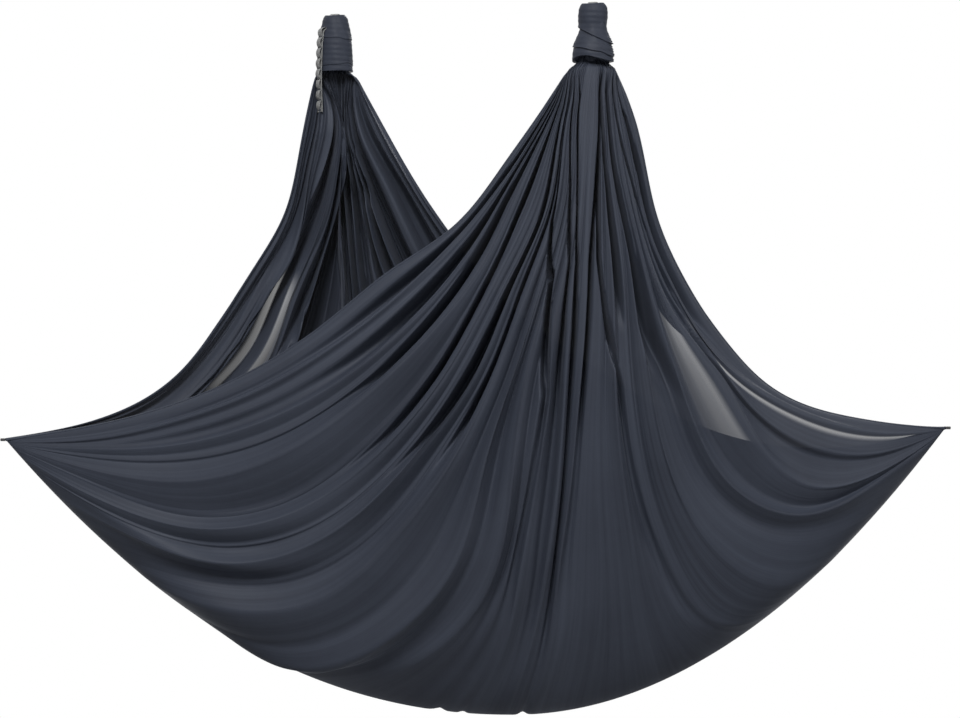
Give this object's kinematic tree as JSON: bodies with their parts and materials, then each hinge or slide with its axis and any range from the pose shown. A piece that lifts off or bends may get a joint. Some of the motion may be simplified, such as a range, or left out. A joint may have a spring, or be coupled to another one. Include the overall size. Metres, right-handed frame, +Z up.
{
  "type": "aerial yoga hammock",
  "caption": "Wide sheer cloth hung from two knotted ends with hidden screw-gate carabiners and strap eyes, its long edges pulled out into a deep seat pocket.",
  "frame": {"origin": "seat of the right ceiling hook, on the flat underside of the right strap eye's top band", "axes": "+Z up, +X to the right between the two outer tips of the cloth, +Y away from the viewer, from the front ply to the rear ply"},
  "size_m": [2.3316, 0.4131, 1.7344],
  "materials": {
    "tricot": "sheer charcoal nylon tricot with a soft sheen",
    "wrapped_tricot": "the same tricot, wound tight",
    "webbing": "pale grey polyester webbing",
    "carabiner_steel": "bright steel",
    "lock_metal": "dark knurled metal",
    "grip_plastic": "black"
  },
  "bodies": {
    "strap_eyes": {"left_strap_eye": "webbing", "right_strap_eye": "webbing"},
    "hammock": {"front_panel": "tricot", "rear_panel": "tricot", "left_knot_cover": "wrapped_tricot", "right_knot_cover": "wrapped_tricot", "left_cloth_bight": "tricot", "right_cloth_bight": "tricot", "left_carabiner_frame": "carabiner_steel", "right_carabiner_frame": "carabiner_steel", "left_gate_pin": "carabiner_steel", "right_gate_pin": "carabiner_steel", "left_strap_tail": "webbing", "right_strap_tail": "webbing", "left_edge_clip": "grip_plastic", "right_edge_clip": "grip_plastic"},
    "left_gate": {"left_carabiner_gate": "carabiner_steel"},
    "right_gate": {"right_carabiner_gate": "carabiner_steel"},
    "left_lock": {"left_lock_sleeve": "lock_metal"},
    "right_lock": {"right_lock_sleeve": "lock_metal"}
  },
  "joints": [
    {"name": "hammock_swing", "type": "hinge", "parent": "strap_eyes", "child": "hammock", "pos_m": [0, 0, -0.0205], "axis": [0.9489, -0.3156, 0], "range_deg": [-30, 30]},
    {"name": "left_gate_swing", "type": "hinge", "parent": "hammock", "child": "left_gate", "pos_m": [-0.61297, 0.20391, -0.084], "axis": [-0.3156, -0.9489, 0], "range_deg": [0, 25], "stiffness_Nm_per_rad": 0.15, "springref_deg": -34.38},
    {"name": "right_gate_swing", "type": "hinge", "parent": "hammock", "child": "right_gate", "pos_m": [0.01993, -0.00663, -0.084], "axis": [-0.3156, -0.9489, 0], "range_deg": [0, 25], "stiffness_Nm_per_rad": 0.15, "springref_deg": -34.38},
    {"name": "left_lock_travel", "type": "slide", "parent": "left_gate", "child": "left_lock", "axis": [0, 0, 1], "range_m": [0, 0.013]},
    {"name": "right_lock_travel", "type": "slide", "parent": "right_gate", "child": "right_lock", "axis": [0, 0, 1], "range_m": [0, 0.013]}
  ]
}
